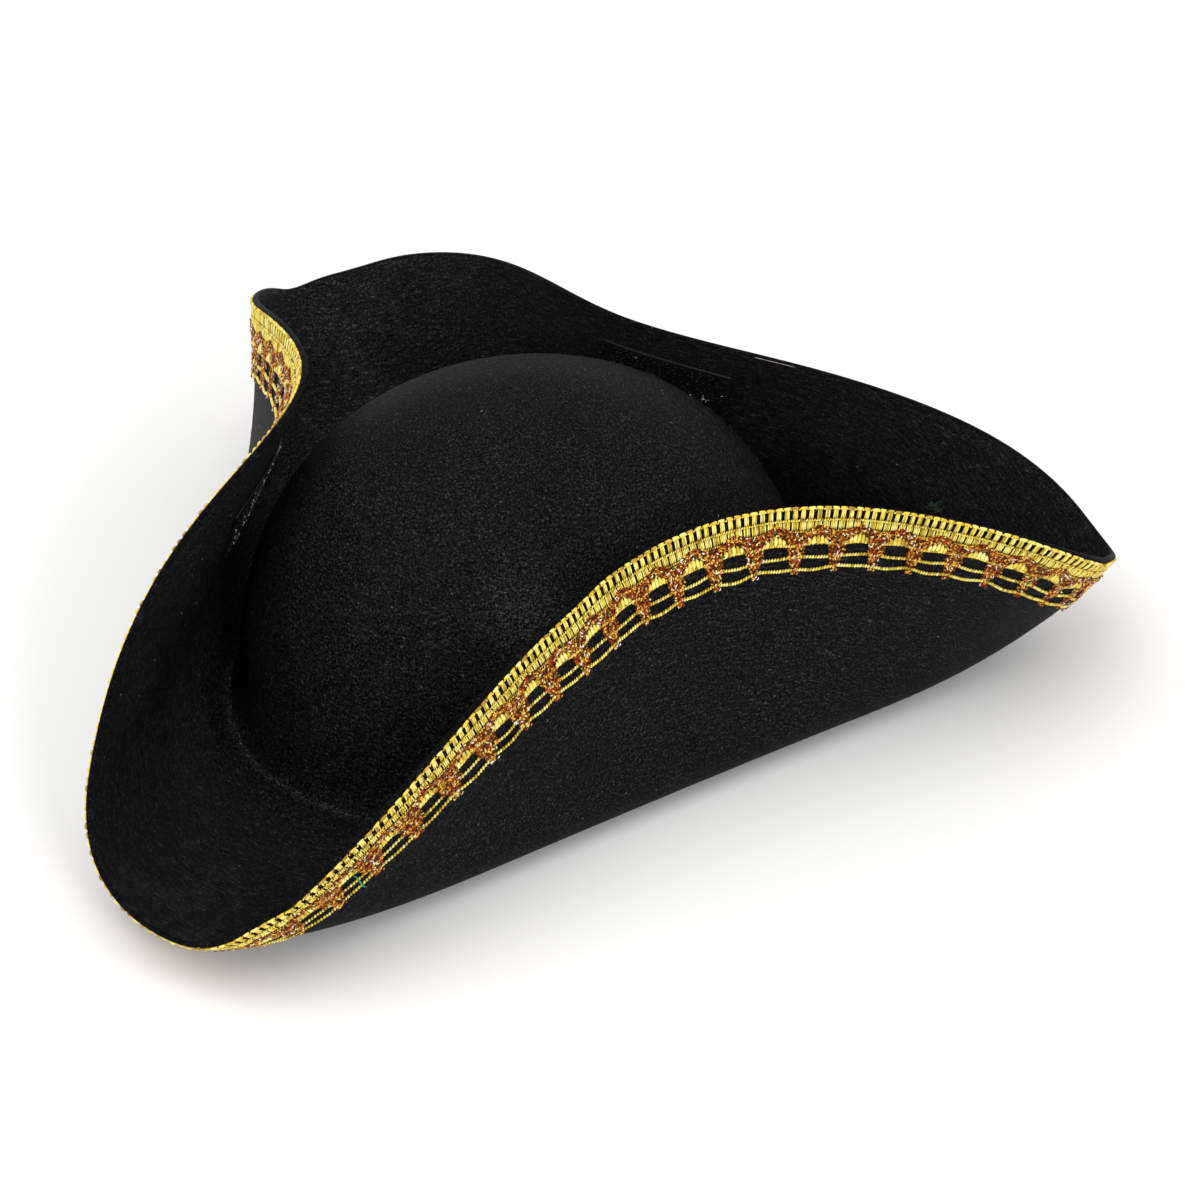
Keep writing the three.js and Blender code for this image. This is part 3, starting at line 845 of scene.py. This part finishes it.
gold_paint = thread_material("gold_thread", (
    (0.32, 0.17, 0.008), (0.88, 0.60, 0.035), (1.0, 0.88, 0.22)), 0.36)
pale_paint = thread_material("pale_gold_thread", (
    (0.44, 0.28, 0.015), (0.90, 0.70, 0.08), (1.0, 0.93, 0.34)), 0.32, 0.3)
amber_paint = thread_material("amber_thread", (
    (0.24, 0.10, 0.004), (0.72, 0.40, 0.015), (0.95, 0.66, 0.07)), 0.38)
tinsel_paint = tinsel_material("copper_tinsel", True, TINSEL_TONES)
ground_paint = tinsel_material("tinsel_ground", False, TINSEL_GROUND_TONES)
tape_paint = tape_material()
glint_paint = glint_material()

felt_hat = build_felt()
felt_hat.data.materials.append(felt_material())
piece(felt_hat, "black_felt", "felt_body")

ground = LaceGround()
repeating = row_rule()
pitch = ground.length / REPEATS


def arc_path(start, end, lift, count=5, base=LACE_LIFT):
    """Path between two spots on the strip that rises by lift in the middle."""
    share = np.linspace(0, 1, count)[:, None]
    path = np.array(start)[None] * (1 - share) + np.array(end)[None] * share
    height = base + lift * np.sin(math.pi * share)
    return np.concatenate([path, height], 1)


def cord_row(name, material, seed, bend=pucker):
    """A twisted cord or chain along the rim, made of short slanting turns."""
    level, slant, length, width, base, turns, play = CORDS[name]
    half, rise = length / 2, slant / 2
    path = arc_path((-half, level + rise), (half, level - rise), 0.3, 4, base - 0.1)
    bead = strand(path, width, width)
    return rim_row(name, [bead], REPEATS * turns, material, play, seed=seed, bend=bend)


def stitches(places, levels, lean, lift, height):
    """Straight stitches side by side between two distances from the rim."""
    top, low = levels
    return [strand(arc_path((x * lean[0], top), (x + lean[1], low), lift), 0.66, height) for x in places]


# Heading: knots on the rim, a cord, rungs, a chain, a row of satin stitches and a second chain
knot = strand(arc_path((-1.3, KNOT_LEVEL), (1.3, KNOT_LEVEL), 0.35, 5, 0.2), 1.2, 1.0, 6, 0.35)
rungs = stitches((-0.66, 0.0, 0.66), RUNG_LEVELS, (0.8, 0.0), 0.2, 0.6)
satin = stitches((-1.0, -0.33, 0.33, 1.0), SATIN_LEVELS, (1.0, 0.12), 0.3, 0.55)
heading_rows = [
    rim_row("rim_knots", [knot], RUNGS, gold_paint, 0.07, 0.15, 0.1, 3),
    cord_row("rim_cord", gold_paint, 4),
    rim_row("rungs", rungs, RUNGS, pale_paint, 0.08, 0.03, 0.02, 5),
    cord_row("upper_chain", gold_paint, 7),
]
satin_rows = [
    rim_row("satin_row", satin, RUNGS, pale_paint, 0.06, 0.02, 0.02, 9),
    cord_row("lower_chain", amber_paint, 11),
]


def teeth():
    """Yellow satin teeth that fan out under each rise of the tinsel."""
    parts = []
    for lean in (-2.2, -1.1, 0.0, 1.1, 2.2):
        low = (pitch / 2 + lean * 1.75, 13.5)
        high = (pitch / 2 + lean * 1.35, 9.8 + 0.3 * lean * lean)
        parts.append(strand(arc_path(low, high, 0.3), 1.75, 0.75, 5, 0.3))
    return parts


def sag(amount):
    """Lets a cord hang away from the rim between the fans."""
    def bend(flat):
        flat[:, 1] += amount * np.sin(math.pi * (flat[:, 0] % pitch) / pitch) ** 2
        turn = 2 * math.pi * flat[:, 0] / ground.length
        flat[:, 1] += sum(size * np.sin(turns * turn + amount * start) for turns, size, start in CORD_WAVES)
        return pucker(flat)
    return bend


cord_rows = [
    rim_row("fan_teeth", teeth(), REPEATS, pale_paint, seed=13),
    cord_row("border_cord", gold_paint, 15, sag(-0.5)),
    cord_row("inner_cord", pale_paint, 17, sag(0.35)),
    cord_row("outer_cord", pale_paint, 19, sag(0.6)),
]


def fan_half_width(down):
    """Half width of a tinsel fan at a distance from the rim."""
    return np.interp(down, FAN_DOWN, FAN_HALF)


def band_middle(x):
    """Middle of the tinsel band below the heading: high between the fans and low at them."""
    return BAND_MIDDLE - BAND_SWING * np.cos(2 * math.pi * (x / pitch - 0.5))


def band_lift(down):
    """How far the tinsel is raised where it lies over the satin row."""
    return BAND_RAISE * smooth_step((10.2 - down) / 1.6)


def domed(x, down, share, raised):
    """Upper and lower face of a cushion that is highest in its middle."""
    top = np.stack([x, down, LACE_LIFT + CUSHION_DOME * np.sqrt(1 - share ** 2) + raised], -1)
    low = top.copy()
    low[..., 2] = CUSHION_FOOT
    return top, low


def band_cushion(columns=13, rows=5):
    """One repeat of the ground under the waving band."""
    x = np.linspace(0, pitch, columns)
    share = np.linspace(-1, 1, rows)[:, None]
    down = band_middle(x) + BAND_HALF * share * CUSHION_SHARE
    top, low = domed(x + 0 * share, down, share, band_lift(down))
    points = np.concatenate([top.reshape(-1, 3), low[::-1].reshape(-1, 3)])
    last = (2 * rows - 1) * columns
    faces = grid_faces(2 * rows, columns, False)
    faces += [(last + c, last + c + 1, c + 1, c) for c in range(columns - 1)]
    return list(points), faces


def fan_cushion(columns=7, rows=10):
    """The ground under one fan, closed at both ends."""
    down = np.linspace(*FAN_LEVELS, rows)[:, None]
    across = np.linspace(-1, 1, columns)[None]
    top, low = domed(fan_half_width(down) * across * CUSHION_SHARE, down + 0 * across, across, 0 * down)
    points = np.concatenate([top, low[:, ::-1]], 1).reshape(-1, 3)
    around = 2 * columns
    faces = grid_faces(rows, around, True, 0, True)
    faces.append(tuple(range(around)))
    faces.append(tuple((rows - 1) * around + k for k in reversed(range(around))))
    return list(points), faces


def tinsel_bits(count):
    """Short bright bits of tinsel strewn over the band and the fan of one repeat."""
    parts = []
    for k in range(count):
        on_band = k % 9 < 4
        if on_band:
            x = RAND.uniform(-0.5, 0.5) * pitch
            y = band_middle(x) + RAND.uniform(-1, 1) * BAND_HALF
        else:
            y = 11.0 + 12.2 * RAND.random() ** 1.1
            x = RAND.uniform(-1, 1) * fan_half_width(y)
        turn = RAND.uniform(0, math.pi)
        half = RAND.uniform(0.35, 0.75)
        dx, dy = half * math.cos(turn), half * math.sin(turn)
        base = LACE_LIFT + RAND.uniform(0.3, 0.7) + band_lift(y)
        rise = RAND.uniform(-0.3, 0.3)
        path = np.array([(x - dx, y - dy, base - rise), (x, y, base + 0.2), (x + dx, y + dy, base + rise)])
        parts.append(strand(path, RAND.uniform(0.45, 0.8), 0.3, 4, 0.6))
    return parts


def gathered(flat):
    """Spreads the fans where the lace is gathered, so that they close the windows between them."""
    bearing = ground.bearing_at(flat[:, 0])
    spread = sum(share * np.exp(-((bearing - middle) / reach) ** 2) for middle, reach, share in FAN_SPREADS)
    middle = np.round(flat[:, 0] / pitch) * pitch
    flat[:, 0] += (flat[:, 0] - middle) * spread * smooth_step((flat[:, 1] - 11.0) / 3.0)
    return pucker(flat)


tinsel_ground = rim_row("tinsel_ground", [band_cushion(), fan_cushion()], REPEATS, ground_paint, seed=21,
                        bend=gathered)
tinsel_fans = rim_row("tinsel_fans", tinsel_bits(BITS), REPEATS, tinsel_paint, seed=23, bend=gathered)

piece(merge("lace_heading", heading_rows), "gold_braid", "braid_heading")
piece(merge("lace_satin_row", satin_rows), "gold_braid")
piece(merge("lace_cords", cord_rows), "gold_braid")
piece(tinsel_ground, "copper_glitter", "braid_scallops")
piece(tinsel_fans, "copper_glitter")


# Loose hairs and lint on the felt

def hair_rule():
    """Strews short curved hairs over a surface."""
    rule = Rule("strew_hairs", Density="Float", Length="Float", Thickness="Float", Lift="Float",
                Seed="Int", Material="Material")
    given = rule.given

    def spot(along, across, up):
        """Spot at shares of the hair's length along and across it and of its lift."""
        shares = (("X", given["Length"], along), ("Y", given["Length"], across), ("Z", given["Lift"], up))
        return rule.add("ShaderNodeCombineXYZ", 0, {
            axis: rule.add("ShaderNodeMath", 0, {0: size, 1: share}, operation="MULTIPLY")
            for axis, size, share in shares})

    bow = rule.add("GeometryNodeCurveQuadraticBezier", 0, {
        "Resolution": 3, "Start": spot(-0.5, 0.0, 0.2), "Middle": spot(0.0, 0.4, 1.0),
        "End": spot(0.5, 0.0, 0.6)})
    ring = rule.add("GeometryNodeCurvePrimitiveCircle", 0, {"Resolution": 3, "Radius": given["Thickness"]})
    hair = rule.add("GeometryNodeCurveToMesh", 0, {"Curve": bow, "Profile Curve": ring, "Fill Caps": True})
    spots = rule.add("GeometryNodeDistributePointsOnFaces", "Points", {
        "Mesh": given["Geometry"], "Density": given["Density"], "Seed": given["Seed"]})
    angle = rule.add("FunctionNodeRandomValue", 1, {3: 2 * math.pi})
    spin = rule.add("FunctionNodeAxisAngleToRotation", 0, {"Axis": (0, 0, 1), "Angle": angle})
    turn = rule.add("FunctionNodeRotateRotation", 0, {
        "Rotation": spots.node.outputs["Rotation"], "Rotate By": spin}, rotation_space="LOCAL")
    scale = rule.add("FunctionNodeRandomValue", 1, {2: 0.5, 3: 1.6, "Seed": 5})
    rule.finish(spots, hair, turn, scale)
    return rule


def strew(name, density, length, thickness, lift, seed, colour):
    hairs = show(name, felt_hat.data.copy())
    strewing.apply(hairs, Density=density, Length=length, Thickness=thickness, Lift=lift, Seed=seed,
                   Material=plain_material(name, colour))
    points = mesh_points(hairs.data)
    points[:, 2] = np.maximum(points[:, 2], 0.0)
    set_points(hairs.data, points)
    return hairs


strewing = hair_rule()
piece(merge("felt_hairs", [strew(*hair) for hair in HAIRS]), "black_felt")


# Stray bits on the hat: a green tuft, a green thread over the cords, a pale spot near the rear tape and
# smears

def spots_on_brim(bearing_deg, share, across, outward, lift):
    """Spots on the brim's visible face at distances from a place on it."""
    bearing = math.radians(bearing_deg)
    width = brim_width(bearing)
    reach = head_radius(bearing) + width * share
    bearings = bearing + np.array(across, float) / reach
    shares = share + np.array(outward, float) / width
    away = away_from_felt(brim_point, bearings, shares)
    return brim_point(bearings, shares) + away * np.array(lift, float)[..., None]


def stray(name, strands, material):
    """One object from loose strands."""
    points, faces, _ = join(strands)
    obj = add_object(name, to_frame(np.array(points)), faces)
    obj.data.materials.append(material)
    return obj


def tuft(bearing_deg, share, count, spread, length, width):
    """Small tangle of short fibres lying on the brim."""
    strands = []
    for _ in range(count):
        x, y = RAND.normal(0, spread, 2)
        turn = RAND.uniform(0, 2 * math.pi)
        dx, dy = length * math.cos(turn), length * math.sin(turn)
        path = spots_on_brim(bearing_deg, share, [x - dx, x + 0.3 * dy, x + dx],
                             [y - dy, y - 0.3 * dx, y + dy], [0.2, RAND.uniform(0.4, 1.0), 0.2])
        strands.append(strand(path, width, width, 4, 0.6))
    return strands


thread_path = ground.wrap(np.array([(850.0, 14.8, 1.5), (850.4, 17.5, 2.1), (849.8, 21.5, 1.7),
                                    (849.5, 25.0, 2.0), (849.8, 27.8, 1.2)]))
smears = [strand(spots_on_brim(46.3, 1.0, np.linspace(first, last, 7), np.zeros(7), np.full(7, 0.1)),
                 0.35, 0.3, 4, 0.3) for first, last in ((-7.5, -2.0), (-3.0, 3.5), (2.5, 6.5))]
piece(merge("stray_bits", [stray(name, strands, plain_material(name, colour)) for name, strands, colour in (
    ("green_tuft", tuft(22.0, 0.666, 26, 1.1, 1.3, 0.35), (0.012, 0.05, 0.02)),
    ("green_thread", [strand(thread_path, 0.8, 0.5, 5, 0.7)], (0.02, 0.33, 0.14)),
    # A pale spot of fibres near the rear tape
    ("glue_spot", tuft(53.5, 0.705, 18, 0.9, 0.5, 0.7), (0.85, 0.85, 0.8)),
    ("rim_smear", smears, (0.33, 0.27, 0.25)),
)]), "black_felt")


# Fastening tapes

def build_tape(node, bearing_deg, below, bright):
    """A stitched-down patch of woven tape with rows of tiny hooks, on the brim's upper face."""
    middle = math.radians(bearing_deg % 360)
    width = brim_width(middle)
    upper = 1 - below * BRIM_WIDTH / width
    lower = upper - TAPE_WIDTH / width
    radius = head_radius(middle) + width * (upper + lower) / 2

    def on_tape(across, up, lift):
        """Spots on the tape; across and up run from 0 to 1."""
        bearings = middle + (across - 0.5) * TAPE_LENGTH / radius
        shares = lower + (upper - lower) * up
        away = away_from_felt(brim_point, bearings, shares)
        return brim_point(bearings, shares) + away * lift[..., None]

    columns, rows = TAPE_GRID
    across, up = np.meshgrid(np.linspace(0, 1, columns), np.linspace(0, 1, rows))
    edge = np.minimum(np.minimum(across, 1 - across) * TAPE_LENGTH, np.minimum(up, 1 - up) * TAPE_WIDTH)
    foot, border, swell = TAPE_LEVELS
    top = on_tape(across, up, border + swell * np.clip(edge / 0.8, 0, 1))
    low = on_tape(across, up, np.full(across.shape, foot))
    points = np.concatenate([top.reshape(-1, 3), low.reshape(-1, 3)])
    size = rows * columns
    faces = grid_faces(rows, columns, False) + grid_faces(rows, columns, False, size, True)
    index = np.arange(size).reshape(rows, columns)
    rim = np.concatenate([index[0], index[1:, -1], index[-1, -2::-1], index[-2:0:-1, 0]]).tolist()
    faces += [(b, size + b, size + a, a) for a, b in zip(rim, rim[1:] + rim[:1])]
    patch = add_object("patch", to_frame(points), faces)
    face_outwards(patch)
    patch.data.materials.append(tape_paint)
    hooks, glints = [], []
    step_x, step_y = HOOK_STEP / TAPE_LENGTH, HOOK_STEP / TAPE_WIDTH
    first, last = HOOK_MARGINS
    for y in np.arange(first / TAPE_WIDTH, 1 - last / TAPE_WIDTH, step_y):
        for x in np.arange(first / TAPE_LENGTH, 1 - last / TAPE_LENGTH, step_x):
            x_here = x + RAND.normal(0, HOOK_PLAY * step_x)
            y_here = y + RAND.normal(0, HOOK_PLAY * step_y)
            if RAND.random() < HOOK_GAPS:
                continue
            spots_x = x_here + np.array([0, 0, 0.4 * step_x])
            path = on_tape(spots_x, np.full(3, y_here), np.array(HOOK_LEVELS))
            # A share of the hooks is painted pale as glints
            kind = glints if RAND.random() < bright else hooks
            kind.append(strand(path, HOOK_WIDTH, HOOK_WIDTH, 5, 0.6))
    fields = [stray("hooks", hooks, tape_paint), stray("glints", glints, glint_paint)]
    piece(merge("fastening_" + node, [patch, *fields]), "black_tape", node)


for tape in TAPES:
    build_tape(*tape)


# Floor, light and camera

floor = add_object("floor", [(-3, -3, 0), (3, -3, 0), (3, 3, 0), (-3, 3, 0)], [(0, 1, 2, 3)])
floor.data.materials.append(plain_material("pale_floor", (0.93, 0.93, 0.93), 0.9))

room = bpy.data.worlds.new("soft_room")
room.use_nodes = True
glow = room.node_tree.nodes["Background"].inputs
glow["Color"].default_value = (1.0, 1.0, 1.0, 1.0)
glow["Strength"].default_value = ROOM_LIGHT
bpy.context.scene.world = room
bpy.context.scene.view_settings.view_transform = "Standard"


def stage_camera():
    """Camera behind its place in the layout, to its right and up, turned into the frame."""
    back = np.array([0.0, -math.cos(CAMERA_TILT), math.sin(CAMERA_TILT)])
    flat_right = np.array([1.0, 0.0, 0.0])
    flat_up = np.cross(back, flat_right)
    right = flat_right * math.cos(CAMERA_ROLL) + flat_up * math.sin(CAMERA_ROLL)
    up = flat_up * math.cos(CAMERA_ROLL) - flat_right * math.sin(CAMERA_ROLL)
    aim = np.array([0.0, 0.0, CAMERA_HEIGHT]) + right * CAMERA_STEPS[0] + up * CAMERA_STEPS[1]
    place = to_frame(aim + back * CAMERA_DISTANCE)
    data = bpy.data.cameras.new("camera")
    data.sensor_width = SENSOR_WIDTH
    data.lens = SENSOR_WIDTH / 2 / math.tan(CAMERA_FIELD / 2)
    data.clip_start, data.clip_end = 0.1, 20.0
    camera = show("camera", data)
    axes = np.array([turned(axis) for axis in (right, up, back)]).T
    camera.matrix_world = Matrix([(*axis, spot) for axis, spot in zip(axes, place)] + [(0, 0, 0, 1)])
    bpy.context.scene.camera = camera


def stage_light(name, place, height_lit, size, power):
    rightwards, upwards, backwards = place
    level_right, level_back = turned(np.array([[1.0, 0.0, 0.0], [0.0, -1.0, 0.0]]))
    spot = Vector(level_right * rightwards + level_back * backwards + np.array([0, 0, upwards]))
    data = bpy.data.lights.new(name, "AREA")
    data.shape = "DISK"
    data.size = size
    data.energy = power
    light = show(name, data)
    light.location = spot
    light.rotation_euler = (Vector((0, 0, height_lit)) - spot).to_track_quat("-Z", "Y").to_euler()


stage_camera()
for light in LIGHTS:
    stage_light(*light)
